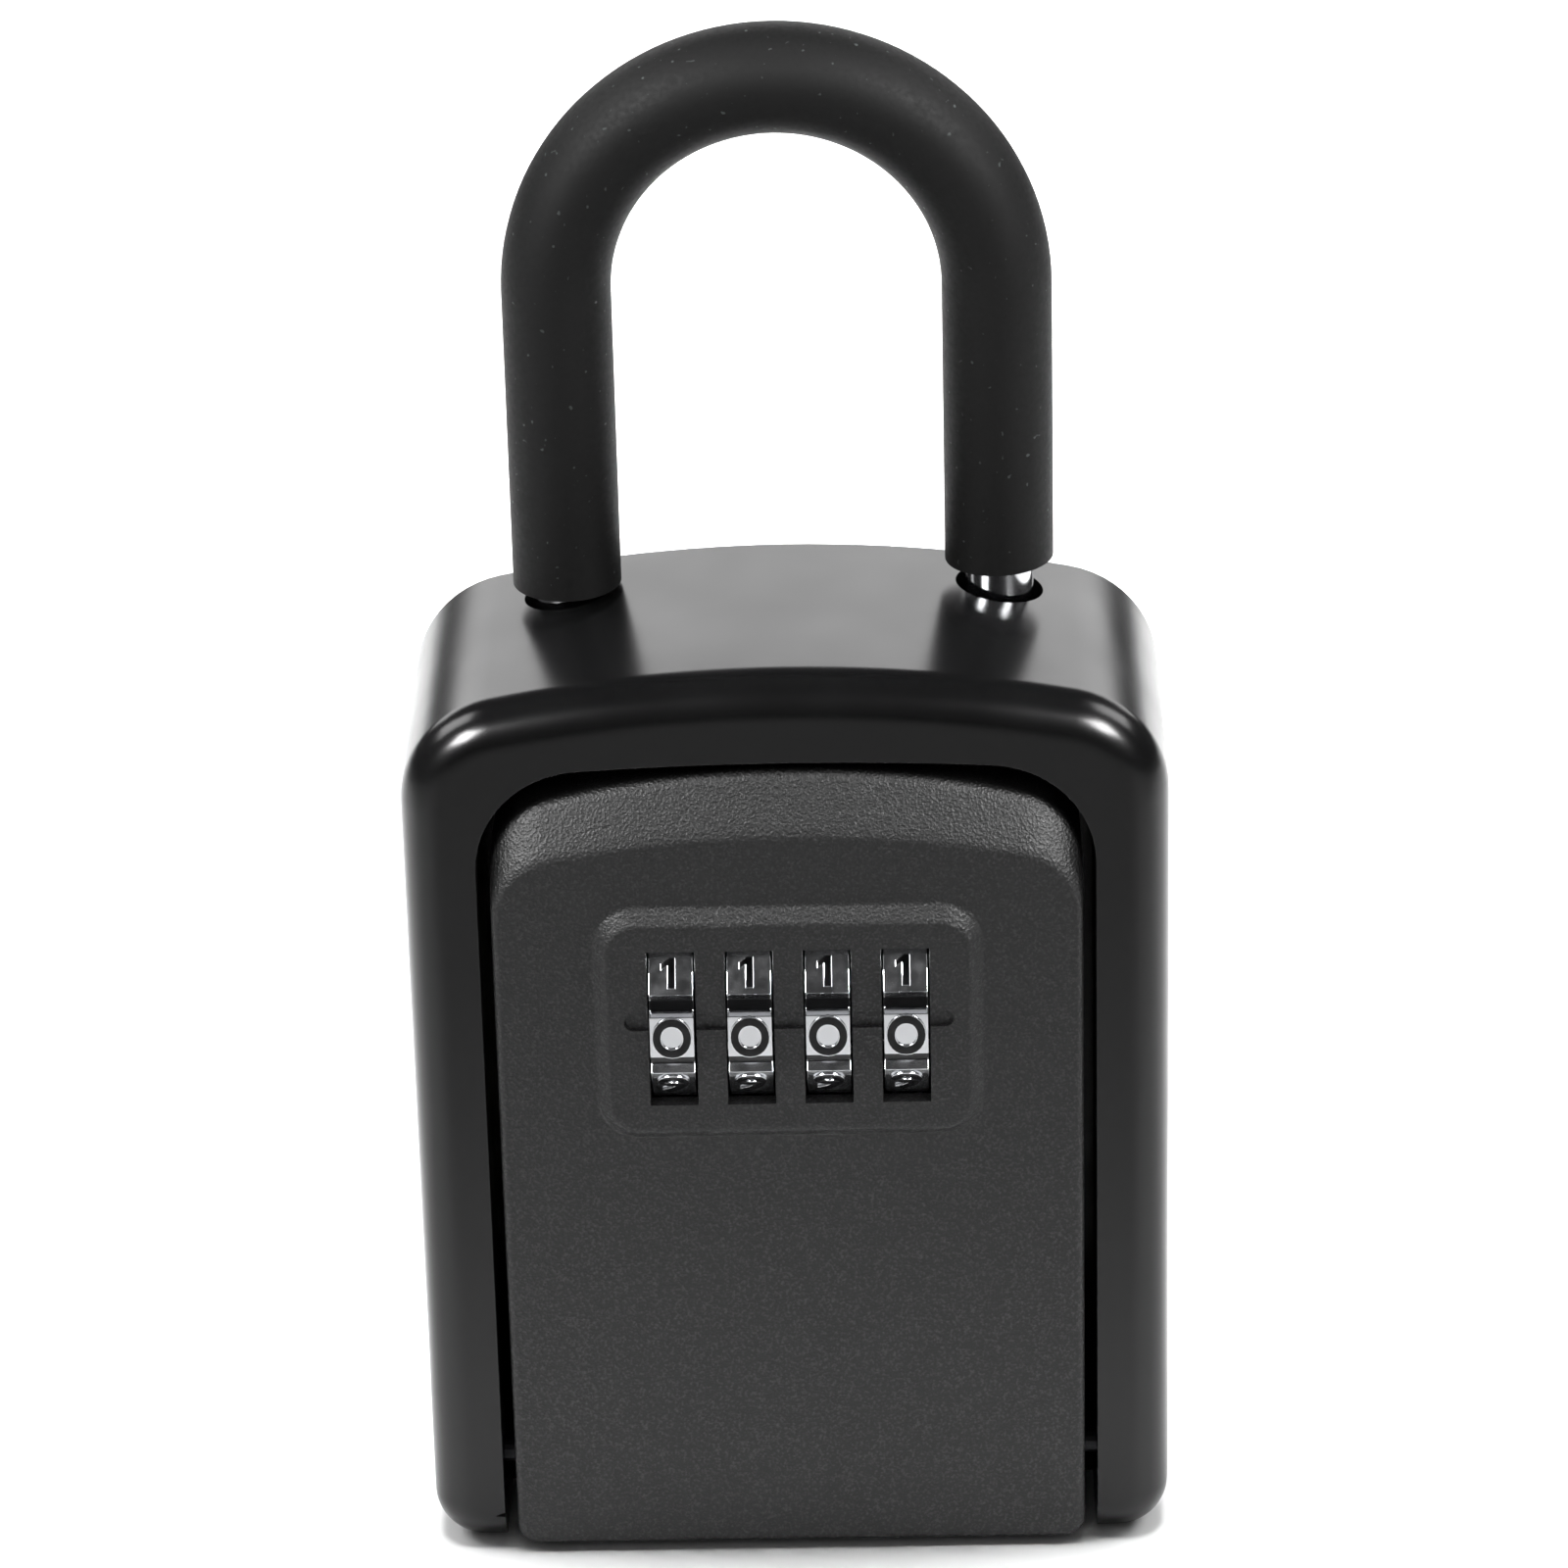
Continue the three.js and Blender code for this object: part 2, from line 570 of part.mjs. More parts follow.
addPiece("case_shell", caseShell(), CASE_PAINT);
addPiece("shackle_bracket", shackleBracket(), STEEL);
for (const [side, x] of [["left", -8], ["right", 8]]) {
  addPiece(`bracket_screw_${side}`, screw(x, bracketHeight - 6, screwSeat, 7, -1), STEEL);
}
for (const [side, sign] of [["left", -1], ["right", 1]]) {
  const ends = [sign * (halfDoor - DOOR_WALL - 0.6), sign * (halfCase - WALL - GAP)];
  const x0 = Math.min(...ends);
  addPiece(`hinge_pin_${side}`, barX(PIN_RADIUS, x0, Math.max(...ends), HINGE_DEPTH, HINGE_HEIGHT), STEEL);
}
addPiece("door_cover", doorCover(), DOOR_PAINT);
addPiece("door_inner_cover", innerCover(), PLASTIC);
coverScrewPlaces.forEach(([x, z], i) => {
  addPiece(`cover_screw_${i + 1}`, screw(x, z, coverSeat + 2 + GAP, 6.5, 1), STEEL);
});
addPiece("dial_frame", dialFrame(), STEEL);
addPiece("dial_spindle", dialSpindle(), STEEL);
addPiece("spindle_clip", ringX(3.4, 1.8, frameX + 1, frameX + 1.8), SPRING_STEEL);
addPiece("spindle_spring", spindleSpring(), SPRING_STEEL);
addPiece("spindle_spacer", ringX(3.6, SPINDLE_RADIUS + GAP, endDialX + 4.4, frameX - 0.9), BRASS);
for (let i = 0; i + 1 < DIAL_COUNT; i += 1) {
  const x = dialX(i) + DIAL_WIDTH / 2 + 1.8;
  addPiece(`dial_washer_${i + 1}`, ringX(4.4, SPINDLE_RADIUS + GAP, x, x + 1.48), BRASS);
}
addPiece("detent_spring", detentSpring(), SPRING_STEEL);
addPiece("lock_bolt", lockBolt(), STEEL);
addPiece("code_change_lever", codeLever(), PLASTIC);
for (let i = 0; i < DIAL_COUNT; i += 1) {
  addPiece(`dial_wheel_${i + 1}`, dialWheel(i), DIAL_METAL);
  addPiece(`dial_hub_${i + 1}`, dialHub(i), PLASTIC);
}
addPiece("shackle_rod", shackleRod(), CHROME);
addPiece("shackle_sleeve", shackleSleeve(), VINYL);
addPiece("shackle_retaining_ring", retainingRing(), SPRING_STEEL);
addPiece("shackle_latch", shackleLatch(), STEEL);
addPiece("latch_knob", latchKnob(), PLASTIC);

export default lockBox;
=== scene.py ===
import json
import math

import bmesh
import bpy
from mathutils import Matrix, Vector


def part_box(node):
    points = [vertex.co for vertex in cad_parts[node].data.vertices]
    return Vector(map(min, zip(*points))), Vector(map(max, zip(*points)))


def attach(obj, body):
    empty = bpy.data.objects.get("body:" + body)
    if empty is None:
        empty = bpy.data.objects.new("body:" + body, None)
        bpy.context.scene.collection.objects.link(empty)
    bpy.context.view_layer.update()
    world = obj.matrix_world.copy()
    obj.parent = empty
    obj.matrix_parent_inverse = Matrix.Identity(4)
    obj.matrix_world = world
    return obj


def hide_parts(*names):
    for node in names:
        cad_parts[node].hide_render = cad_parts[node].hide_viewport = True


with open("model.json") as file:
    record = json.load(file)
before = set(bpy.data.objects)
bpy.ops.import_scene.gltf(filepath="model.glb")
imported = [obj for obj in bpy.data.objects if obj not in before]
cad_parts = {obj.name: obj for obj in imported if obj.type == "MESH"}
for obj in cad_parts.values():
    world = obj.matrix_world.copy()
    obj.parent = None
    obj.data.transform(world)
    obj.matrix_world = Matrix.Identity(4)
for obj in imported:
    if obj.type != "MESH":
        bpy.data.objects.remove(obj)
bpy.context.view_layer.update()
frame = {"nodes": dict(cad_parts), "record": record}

# ---- Case ------------------------------------------------------------------------------------
# A zinc die-casting, powder-coated semi-gloss black: a crowned box with rounded front edges,
# open at the front between two rails, with a keeper for the bolt and two shackle holes.
MM = 0.001
case_low, case_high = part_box("case_shell")
FRONT = case_low.y
BACK = case_high.y
HALF_CASE = case_high.x
CASE_TOP = case_high.z
CROWN_PER_WIDTH = 1.93
CROWN_RADIUS = 2 * HALF_CASE * CROWN_PER_WIDTH
CASE_CORNER = 13 * MM
CASE_FOOT_CORNER = 6 * MM
RAIL_DEPTH = 15 * MM
RAIL_WIDTH = 8.55 * MM
WALL = 2.5 * MM
FRONT_ROUNDING = 5 * MM
BACK_ROUNDING = 0.8 * MM
HALF_OPENING = HALF_CASE - RAIL_WIDTH
TOP_RAIL = 9.9 * MM
OPENING_TOP = CASE_TOP - TOP_RAIL
OPENING_CROWN = 405 * MM
OPENING_CORNER = 12.5 * MM
PIN_LOW, PIN_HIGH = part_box("hinge_pin_right")
PIN_Y = (PIN_LOW.y + PIN_HIGH.y) / 2
PIN_Z = (PIN_LOW.z + PIN_HIGH.z) / 2
rod_low, rod_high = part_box("shackle_rod")
LEG_Y = (rod_low.y + rod_high.y) / 2
ROD_RADIUS = (rod_high.y - rod_low.y) / 2
LEG_X = rod_high.x - ROD_RADIUS


def new_piece(name, bm):
    bmesh.ops.remove_doubles(bm, verts=bm.verts, dist=0.002 * MM)
    bmesh.ops.recalc_face_normals(bm, faces=bm.faces)
    mesh = bpy.data.meshes.new(name)
    bm.to_mesh(mesh)
    bm.free()
    piece = bpy.data.objects.new(name, mesh)
    bpy.context.scene.collection.objects.link(piece)
    return piece


def arc(centre_x, centre_z, radius, start, end, steps):
    angles = [start + (end - start) * i / steps for i in range(steps + 1)]
    return [(centre_x + radius * math.cos(a), centre_z + radius * math.sin(a)) for a in angles]


def crowned_outline(half, foot, top, crown, upper, lower, steps=10):
    crown_z = top - crown
    corner_x = half - upper
    corner_z = crown_z + math.sqrt((crown - upper) ** 2 - corner_x ** 2)
    meet = math.atan2(corner_z - crown_z, corner_x)
    right = arc(half - lower, foot + lower, lower, -math.pi / 2, 0, steps)
    right += arc(corner_x, corner_z, upper, 0, meet, steps)
    right += arc(0, crown_z, crown, meet, math.pi / 2, steps)[1:-1]
    return right + [(0, top)] + [(-x, z) for x, z in reversed(right)]


def outline_loop(bm, outline, y):
    verts = [bm.verts.new((x, y, z)) for x, z in outline]
    return [bm.edges.new((verts[i - 1], verts[i])) for i in range(len(verts))]


def stacked(layers):
    """A closed solid over outlines at rising depths behind the case's front plane."""
    bm = bmesh.new()
    loops = [outline_loop(bm, outline, FRONT + depth) for depth, outline in layers]
    for near, far in zip(loops, loops[1:]):
        bmesh.ops.bridge_loops(bm, edges=near + far)
    for end in (loops[0], loops[-1]):
        bmesh.ops.contextual_create(bm, geom=end)
    return bm


def bar(radius, start, end, segments=48):
    """A round bar between two points."""
    bm = bmesh.new()
    bmesh.ops.create_cone(bm, cap_ends=True, radius1=radius, radius2=radius,
                          depth=(end - start).length, segments=segments)
    turn = (end - start).to_track_quat("Z", "Y").to_matrix().to_4x4()
    bmesh.ops.transform(bm, matrix=Matrix.Translation((start + end) / 2) @ turn, verts=bm.verts)
    return bm


def block(low, high):
    bm = bmesh.new()
    bmesh.ops.create_cube(bm, size=1)
    bmesh.ops.scale(bm, vec=Vector(high) - Vector(low), verts=bm.verts)
    bmesh.ops.translate(bm, vec=(Vector(low) + Vector(high)) / 2, verts=bm.verts)
    return bm


def machined(piece, cutters, operation="DIFFERENCE"):
    """Cuts or joins each cutter and keeps the result as the piece's own mesh."""
    for bm in cutters:
        tool = new_piece("tool", bm)
        step = piece.modifiers.new("step", "BOOLEAN")
        step.operation = operation
        step.solver = "EXACT"
        step.object = tool
        evaluated = piece.evaluated_get(bpy.context.evaluated_depsgraph_get())
        result = bpy.data.meshes.new_from_object(evaluated)
        piece.modifiers.clear()
        plain = piece.data
        piece.data = result
        bpy.data.meshes.remove(plain)
        bpy.data.objects.remove(tool)
    piece.data.name = piece.name


def soften(piece, chosen, offset, segments=3):
    """Rounds the edges for which chosen(edge) is true."""
    bm = bmesh.new()
    bm.from_mesh(piece.data)
    edges = [e for e in bm.edges if chosen(e)]
    bmesh.ops.bevel(bm, geom=edges, offset=offset, offset_type="OFFSET", segments=segments,
                    profile=0.5, affect="EDGES", material=-1, clamp_overlap=True)
    bm.to_mesh(piece.data)
    bm.free()


def finish_piece(piece, material, body, slot, *nodes, angle=32):
    """Shades, paints and mounts a piece in place of its CAD nodes."""
    for polygon in piece.data.polygons:
        polygon.use_smooth = True
    piece.data.set_sharp_from_angle(angle=math.radians(angle))
    normals = piece.modifiers.new("normals", "WEIGHTED_NORMAL")
    normals.keep_sharp = True
    if not piece.data.materials:
        piece.data.materials.append(material)
    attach(piece, body)
    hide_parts(*nodes)


def shader(name, color, roughness, metallic=0.0):
    """A new material with its shader, and its Object coordinates to build on."""
    material = bpy.data.materials.new(name)
    material.use_nodes = True
    nodes = material.node_tree.nodes
    surface = nodes["Principled BSDF"]
    surface.inputs["Base Color"].default_value = (*color, 1)
    surface.inputs["Roughness"].default_value = roughness
    surface.inputs["Metallic"].default_value = metallic
    place = nodes.new("ShaderNodeTexCoord")
    return material, surface, place.outputs["Object"]


def noise(material, place, scale, detail=2.0, stretch=(1, 1, 1)):
    nodes, links = material.node_tree.nodes, material.node_tree.links
    mapping = nodes.new("ShaderNodeMapping")
    mapping.inputs["Scale"].default_value = stretch
    links.new(place, mapping.inputs["Vector"])
    texture = nodes.new("ShaderNodeTexNoise")
    texture.inputs["Scale"].default_value = scale
    texture.inputs["Detail"].default_value = detail
    links.new(mapping.outputs["Vector"], texture.inputs["Vector"])
    return texture.outputs["Fac"]


def vary(material, value, socket, low, high, start=0.3, end=0.7):
    """Drives a shader value between low and high by a pattern."""
    nodes, links = material.node_tree.nodes, material.node_tree.links
    span = nodes.new("ShaderNodeMapRange")
    span.inputs["From Min"].default_value = start
    span.inputs["From Max"].default_value = end
    span.inputs["To Min"].default_value = low
    span.inputs["To Max"].default_value = high
    links.new(value, span.inputs["Value"])
    links.new(span.outputs["Result"], socket)


def tint(material, value, socket, low, high, start=0.3, end=0.7):
    """Drives a shader colour between two colours by a pattern."""
    nodes, links = material.node_tree.nodes, material.node_tree.links
    ramp = nodes.new("ShaderNodeValToRGB")
    ramp.color_ramp.elements[0].position = start
    ramp.color_ramp.elements[0].color = (*low, 1)
    ramp.color_ramp.elements[1].position = end
    ramp.color_ramp.elements[1].color = (*high, 1)
    links.new(value, ramp.inputs["Fac"])
    links.new(ramp.outputs["Color"], socket)


def bump(material, surface, value, strength, distance):
    nodes, links = material.node_tree.nodes, material.node_tree.links
    node = nodes.new("ShaderNodeBump")
    node.inputs["Strength"].default_value = strength
    node.inputs["Distance"].default_value = distance
    links.new(value, node.inputs["Height"])
    links.new(node.outputs["Normal"], surface.inputs["Normal"])


case_paint, case_surface, place = shader("case_paint", (0.003, 0.003, 0.0032), 0.26)
case_surface.inputs["Specular IOR Level"].default_value = 0.3
vary(case_paint, noise(case_paint, place, 60), case_surface.inputs["Roughness"], 0.2, 0.26)
bump(case_paint, case_surface, noise(case_paint, place, 900), 0.06, 0.05 * MM)


def case_outline(inset):
    return crowned_outline(HALF_CASE - inset, case_low.z + inset, CASE_TOP - inset,
                           CROWN_RADIUS - inset, CASE_CORNER - inset, CASE_FOOT_CORNER - inset, 12)


case_layers = []
for i in range(9):
    lean = i / 8 * math.pi / 2
    case_layers.append((FRONT_ROUNDING * (1 - math.cos(lean)),
                        case_outline(FRONT_ROUNDING * (1 - math.sin(lean)))))
for i in range(5):
    lean = i / 4 * math.pi / 2
    case_layers.append((BACK - FRONT - BACK_ROUNDING * (1 - math.sin(lean)),
                        case_outline(BACK_ROUNDING * (1 - math.cos(lean)))))
case = new_piece("case", stacked(case_layers))
opening = crowned_outline(HALF_OPENING, -10 * MM, OPENING_TOP, OPENING_CROWN, OPENING_CORNER,
                          1 * MM, 12)
inside_back = BACK - FRONT - WALL
screw_low, screw_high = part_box("bracket_screw_right")
SCREW_X = (screw_low.x + screw_high.x) / 2
SCREW_Z = (screw_low.z + screw_high.z) / 2
latch_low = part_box("shackle_latch")[0]
machined(case, [
    stacked([(-5 * MM, opening), (RAIL_DEPTH + 1 * MM, opening)]),
    stacked([(RAIL_DEPTH, case_outline(WALL)), (inside_back, case_outline(WALL))]),
])
latch_rails = [
    block((-8 * MM, FRONT + inside_back - 3.2 * MM, z), (16 * MM, BACK - 1 * MM, z + 1.7 * MM))
    for z in (latch_low.z - 2 * MM, latch_low.z + 2.3 * MM)]
screw_bosses = [
    bar(3.2 * MM, Vector((x, FRONT + inside_back - 4.2 * MM, SCREW_Z)),
        Vector((x, BACK - 1 * MM, SCREW_Z))) for x in (-SCREW_X, SCREW_X)]
machined(case, latch_rails + screw_bosses, "UNION")
HOLE_RADIUS = 5.1 * MM
machined(case, [
    bar(HOLE_RADIUS, Vector((x, LEG_Y, CASE_TOP - 12 * MM)),
        Vector((x, LEG_Y, CASE_TOP + 2 * MM)), 64) for x in (-LEG_X, LEG_X)])
machined(case, [block((-6.6 * MM, FRONT + 8 * MM, OPENING_TOP - 3 * MM),
                      (6.6 * MM, FRONT + 12 * MM, OPENING_TOP + 3 * MM))])
machined(case, [
    bar(1.8 * MM, Vector((side * (HALF_OPENING - 1 * MM), PIN_Y, PIN_Z)),
        Vector((side * (HALF_CASE - WALL), PIN_Y, PIN_Z)), 24) for side in (-1, 1)])
machined(case, [
    bar(1.6 * MM, Vector((x, FRONT + inside_back - 5 * MM, SCREW_Z)),
        Vector((x, FRONT + inside_back + 1 * MM, SCREW_Z)), 24) for x in (-SCREW_X, SCREW_X)])


def on_opening_rim(edge):
    near = 0.01 * MM
    middle = (edge.verts[0].co + edge.verts[1].co) / 2
    if len(edge.link_faces) != 2 or edge.calc_face_angle() < 0.6:
        return False
    in_front = all(abs(v.co.y - FRONT) < near for v in edge.verts)
    return in_front and abs(middle.x) < HALF_OPENING + near and middle.z < OPENING_TOP + near


def on_hole_rim(edge):
    radii = [math.hypot(abs(v.co.x) - LEG_X, v.co.y - LEG_Y) for v in edge.verts]
    high = all(v.co.z > CASE_TOP - 2.4 * MM for v in edge.verts)
    return high and all(abs(r - HOLE_RADIUS) < 0.02 * MM for r in radii)


soften(case, on_opening_rim, 0.5 * MM)
soften(case, on_hole_rim, 0.35 * MM)
finish_piece(case, case_paint, "case", "case_paint", "case_shell")

# ---- Door ------------------------------------------------------------------------------------
# A die-cast tray with a fine sand-textured black coat. Its brow slopes back under the case's
# top rail, and a raised panel holds the four dial windows and an engraved index groove.
DOOR_PROUD = 1.0 * MM
PANEL_PROUD = 1.2 * MM
HALF_DOOR = HALF_OPENING - 1.5 * MM
DOOR_TOP = OPENING_TOP - 1.8 * MM
DOOR_FOOT = 1.0 * MM
wheel_low, wheel_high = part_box("dial_wheel_1")
DIAL_Z = (wheel_low.z + wheel_high.z) / 2
DIAL_WIDTH = wheel_high.x - wheel_low.x
DIAL_FACE = 12.1 * MM
DIAL_Y = wheel_low.y + DIAL_FACE
DIAL_X = []
for i in range(4):
    low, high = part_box(f"dial_wheel_{i + 1}")
    DIAL_X.append((low.x + high.x) / 2)
WINDOW_HALF = 5.55 / 2 * MM
WINDOW_HALF_HEIGHT = 9.935 * MM
WINDOW_FOOT = DIAL_Z - WINDOW_HALF_HEIGHT
WINDOW_TOP = DIAL_Z + WINDOW_HALF_HEIGHT

door_paint, door_surface, place = shader("door_paint", (0.014, 0.014, 0.0145), 0.5)
door_grain = noise(door_paint, place, 3000, 2.0)
tint(door_paint, door_grain, door_surface.inputs["Base Color"], (0.002, 0.002, 0.0021),
     (0.035, 0.035, 0.036), 0.5, 0.76)
vary(door_paint, door_grain, door_surface.inputs["Roughness"], 0.52, 0.36)
door_surface.inputs["Specular IOR Level"].default_value = 0.35
bump(door_paint, door_surface, door_grain, 0.9, 0.14 * MM)


def door_outline(inset, drop, crown, upper):
    """The door's outline, its top lowered by drop; all sizes in millimetres."""
    return crowned_outline(HALF_DOOR - inset * MM, DOOR_FOOT + inset * MM, DOOR_TOP - drop * MM,
                           crown * MM, upper * MM, (2.6 - inset) * MM)


ARCH_RADIUS = 108
# Each brow row: depth behind the case's front, inset, drop of the top, crown radius, top corner.
brow = [
    (-1.0, 0.9, 7.6, 140.5, 8.0), (-0.95, 0.6, 7.25, 140, 8.2), (-0.8, 0.3, 6.75, 139, 8.4),
    (-0.5, 0.06, 6.05, 136, 8.5), (0.0, 0, 4.95, 131, 8.5), (1.0, 0, 2.85, 120, 8.5),
    (1.75, 0, 1.3, 112, 8.5), (1.95, 0, 0.9, 110, 8.5), (2.2, 0, 0.55, 109, 8.5),
    (2.5, 0, 0.25, 108.4, 8.5), (2.85, 0, 0.07, ARCH_RADIUS, 8.5), (3.3, 0, 0, ARCH_RADIUS, 8.5),
    (11.7, 0, 0, ARCH_RADIUS, 8.5), (12.25, 0.25, 0.25, ARCH_RADIUS, 8.2),
    (12.5, 0.8, 0.8, ARCH_RADIUS, 7.6),
]
door = new_piece("door", stacked([
    (depth * MM, door_outline(inset, drop, crown, upper))
    for depth, inset, drop, crown, upper in brow]))


def rounded_outline(half, foot, top, radius, steps=10):
    right = arc(half - radius, foot + radius, radius, -math.pi / 2, 0, steps)
    right += arc(half - radius, top - radius, radius, 0, math.pi / 2, steps)
    return right + [(-x, z) for x, z in reversed(right)]


PANEL_HALF = 22.4 * MM
PANEL_FOOT = DIAL_Z - 14.66 * MM
PANEL_TOP = DIAL_Z + 15.34 * MM
# Each panel row: depth, how far the sides, foot and top stand in, and the corner radius.
panel_layers = []
for depth, side, foot, top, radius in [
        (-2.2, 1.75, 1.8, 2.7, 3.2), (-2.15, 1.45, 1.4, 2.3, 3.5), (-2.0, 1.2, 0.95, 1.9, 3.8),
        (-1.25, 0.3, 0.2, 0.45, 4.6), (-1.1, 0.1, 0.05, 0.15, 4.8), (-1.0, -0.25, -0.2, -0.3, 5.1),
        (-0.5, -0.25, -0.2, -0.3, 5.1)]:
    panel_layers.append((depth * MM, rounded_outline(
        PANEL_HALF - side * MM, PANEL_FOOT + foot * MM, PANEL_TOP - top * MM, radius * MM)))
machined(door, [stacked(panel_layers)], "UNION")
DOOR_WALL_MM = 2.2
tray_layers = []
for depth, drop, crown, upper in [
        (1.2, 8.0, 138, 7), (3.9, 3.3, 110, 7), (5.4, 2.2, 106, 7), (13.5, 2.2, 106, 7)]:
    tray_layers.append((depth * MM, door_outline(DOOR_WALL_MM, drop, crown, upper)))
machined(door, [stacked(tray_layers)])
cover_screws = []
for i in range(4):
    low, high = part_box(f"cover_screw_{i + 1}")
    cover_screws.append(((low.x + high.x) / 2, (low.z + high.z) / 2))
machined(door, [bar(3 * MM, Vector((x, FRONT + 1 * MM, z)), Vector((x, FRONT + 10 * MM, z)), 32)
                for x, z in cover_screws], "UNION")
machined(door, [bar(1.6 * MM, Vector((x, FRONT + 2 * MM, z)), Vector((x, FRONT + 12 * MM, z)), 24)
                for x, z in cover_screws])
DIAL_SWEEP = DIAL_FACE / math.cos(math.radians(12)) + 0.4 * MM
for x in DIAL_X:
    machined(door, [
        block((x - WINDOW_HALF, FRONT - 5 * MM, WINDOW_FOOT),
              (x + WINDOW_HALF, FRONT + 4 * MM, WINDOW_TOP)),
        bar(DIAL_SWEEP, Vector((x - WINDOW_HALF, DIAL_Y, DIAL_Z)),
            Vector((x + WINDOW_HALF, DIAL_Y, DIAL_Z)), 64)])
machined(door, [block((-6.3 * MM, FRONT + 8.2 * MM, DOOR_TOP - 8 * MM),
                      (6.3 * MM, FRONT + 11.8 * MM, DOOR_TOP + 2 * MM))])
machined(door, [
    bar(1.8 * MM, Vector((side * (HALF_DOOR - 3.2 * MM), PIN_Y, PIN_Z)),
        Vector((side * (HALF_DOOR + 1 * MM), PIN_Y, PIN_Z)), 24) for side in (-1, 1)])
GROOVE_HALF = 1.05 * MM
GROOVE_Z = DIAL_Z + 0.9 * MM
GROOVE_FLOOR = -PANEL_PROUD - DOOR_PROUD + 0.6 * MM
groove = rounded_outline(19 * MM, GROOVE_Z - GROOVE_HALF, GROOVE_Z + GROOVE_HALF,
                         GROOVE_HALF * 0.98, 8)
machined(door, [stacked([(-4 * MM, groove), (GROOVE_FLOOR, groove)])])


def on_panel_edge(edge):
    if len(edge.link_faces) != 2 or edge.calc_face_angle() < 0.6:
        return False
    flush = all(abs(v.co.y - (FRONT - DOOR_PROUD - PANEL_PROUD)) < 0.01 * MM for v in edge.verts)
    return flush and all(abs(v.co.x) < 19.5 * MM for v in edge.verts)


soften(door, on_panel_edge, 0.18 * MM, 2)
finish_piece(door, door_paint, "door", "door_paint", "door_cover")

# ---- Dials -----------------------------------------------------------------------------------
# Four die-cast wheels in polished dark nickel. Each has ten flat faces with a notch between
# neighbours, and a raised digit with a dark top on every face. The notch floors get the same dark
# finish, as painted shade in the notches.
DIAL_NOTCH = 11.3 * MM
NOTCH_HALF = math.radians(3.2)
FACE_HALF = math.radians(12)
HUB_BORE = 5.9 * MM
DIGIT_SIZE = 5.7 * MM
DIGIT_RISE = 0.16 * MM

dial_metal, dial_surface, place = shader("dial_metal", (0.66, 0.67, 0.69), 0.15, 1.0)
vary(dial_metal, noise(dial_metal, place, 700), dial_surface.inputs["Roughness"], 0.11, 0.18)
bump(dial_metal, dial_surface, noise(dial_metal, place, 500), 0.12, 0.05 * MM)
# The digit tops' own dark finish, also put on the notch floors as painted shade.
digit_tops_and_notch_shade, digit_tops_and_notch_shade_surface, place = shader("digit_tops_and_notch_shade", (0.008, 0.008, 0.009), 0.3)
digit_tops_and_notch_shade_surface.inputs["Specular IOR Level"].default_value = 0.25
vary(digit_tops_and_notch_shade, noise(digit_tops_and_notch_shade, place, 900), digit_tops_and_notch_shade_surface.inputs["Roughness"], 0.12, 0.24)


def wheel_outline():
    corner = DIAL_FACE / math.cos(FACE_HALF)
    points = []
    for digit in range(10):
        middle = digit * math.pi / 5
        points += arc(0, 0, corner, middle - FACE_HALF, middle + FACE_HALF, 1)
        points += arc(0, 0, DIAL_NOTCH, middle + math.pi / 10 - NOTCH_HALF,
                      middle + math.pi / 10 + NOTCH_HALF, 1)
    return points


def dial_wheel(number, x):
    bm = bmesh.new()
    edges = outline_loop(bm, wheel_outline(), 0)
    bmesh.ops.contextual_create(bm, geom=edges)
    body = bmesh.ops.extrude_face_region(bm, geom=bm.faces[:])
    moved = [v for v in body["geom"] if isinstance(v, bmesh.types.BMVert)]
    bmesh.ops.translate(bm, vec=(0, DIAL_WIDTH, 0), verts=moved)
    bmesh.ops.rotate(bm, cent=(0, 0, 0), matrix=Matrix.Rotation(-math.pi / 2, 3, "Z"), verts=bm.verts)
    bmesh.ops.translate(bm, vec=(x - DIAL_WIDTH / 2, DIAL_Y, DIAL_Z), verts=bm.verts)
    wheel = new_piece(f"dial_{number}", bm)
    centre = Vector((0, DIAL_Y, DIAL_Z))
    machined(wheel, [bar(HUB_BORE, centre - Vector((30 * MM, 0, 0)), centre + Vector((30 * MM, 0, 0)))])
    soften(wheel, lambda e: len(e.link_faces) == 2 and e.calc_face_angle() > 0.3
           and all(math.hypot(v.co.y - DIAL_Y, v.co.z - DIAL_Z) > 9 * MM for v in e.verts), 0.12 * MM, 2)
    return wheel


def digit_one():
    """A plain one: an upright stroke with a short flag."""
    outline = [(-0.3, -1.75), (0.45, -1.75), (0.45, 1.75), (-0.1, 1.75), (-1.05, 1.1), (-1.05, 0.5),
               (-0.3, 0.95)]
    curve = bpy.data.curves.new("digit", "CURVE")
    curve.dimensions = "2D"
    curve.fill_mode = "BOTH"
    stroke = curve.splines.new("POLY")
    stroke.points.add(len(outline) - 1)
    for point, (x, y) in zip(stroke.points, outline):
        point.co = (x * MM, y * MM, 0, 1)
    stroke.use_cyclic_u = True
    return curve


def digit_font(text):
    curve = bpy.data.curves.new("digit", "FONT")
    curve.body = "O" if text == "0" else text
    curve.offset = 0.17 * MM
    curve.size = DIGIT_SIZE
    curve.align_x = "CENTER"
    curve.resolution_u = 6
    return curve


def digit_mesh(text):
    curve = digit_one() if text == "1" else digit_font(text)
    curve.extrude = DIGIT_RISE
    curve.bevel_depth = 0.1 * MM
    curve.bevel_resolution = 1
    holder = bpy.data.objects.new("digit", curve)
    bpy.context.scene.collection.objects.link(holder)
    evaluated = holder.evaluated_get(bpy.context.evaluated_depsgraph_get())
    mesh = bpy.data.meshes.new_from_object(evaluated)
    bpy.data.objects.remove(holder)
    return mesh


